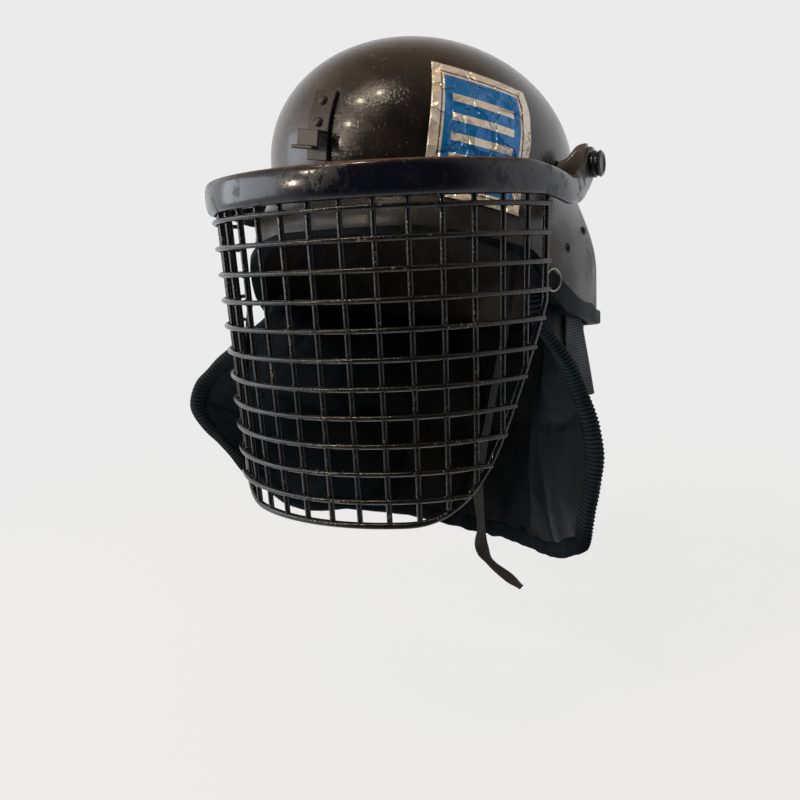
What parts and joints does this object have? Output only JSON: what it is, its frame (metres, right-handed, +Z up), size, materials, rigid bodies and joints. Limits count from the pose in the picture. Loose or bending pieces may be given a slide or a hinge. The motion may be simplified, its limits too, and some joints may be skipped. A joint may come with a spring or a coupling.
{
  "type": "riot helmet",
  "caption": "Riot helmet with a hard domed shell and neck skirt, a hinged wire-mesh visor hung from a curved band, and a padded neck curtain.",
  "frame": {"origin": "top of the inside of the crown, where the wearer's head carries the helmet", "axes": "+Z up, the face looks along -Y, the wearer's left is +X"},
  "size_m": [0.3938, 0.3938, 0.4897],
  "materials": {
    "shell_paint": "gloss paint over a moulded shell, scuffed",
    "edge_rubber": "matt black rubber edging with a faint green-blue cast",
    "dark_steel": "black painted steel, worn at the edges",
    "bright_wire": "thin bare steel wire",
    "foil": "wrinkled silver foil with a plain blue field",
    "band_enamel": "gloss navy enamel, chipped along its upper edge",
    "wire_enamel": "black enamel on steel wire, worn grey",
    "knob_plastic": "black moulded plastic",
    "curtain_nylon": "blue-black nylon cover over thin padding",
    "ribbed_tape": "ribbed blue-black webbing",
    "strap_tape": "grey-brown woven tape"
  },
  "bodies": {
    "helmet": {"shell": "shell_paint", "rim_trim": "edge_rubber", "catch": "dark_steel", "label": "foil", "neck_curtain": "curtain_nylon", "curtain_binding": "ribbed_tape", "curtain_tab": "ribbed_tape", "chin_strap": "strap_tape", "catch_rivet_upper": "dark_steel", "catch_rivet_lower": "dark_steel", "skirt_rivet_front_left": "dark_steel", "skirt_rivet_rear_left": "dark_steel", "skirt_rivet_front_right": "dark_steel", "skirt_rivet_rear_right": "dark_steel", "pivot_boss_left": "band_enamel", "pivot_boss_right": "band_enamel", "pivot_knob_left": "knob_plastic", "pivot_knob_right": "knob_plastic", "wire_ring": "bright_wire"},
    "visor": {"visor_band": "band_enamel", "visor_grille": "wire_enamel"}
  },
  "joints": [
    {"name": "visor_hinge", "type": "hinge", "parent": "helmet", "child": "visor", "pos_m": [0, 0.02122, -0.111], "axis": [-1, 0, 0], "range_deg": [0, 80]}
  ]
}
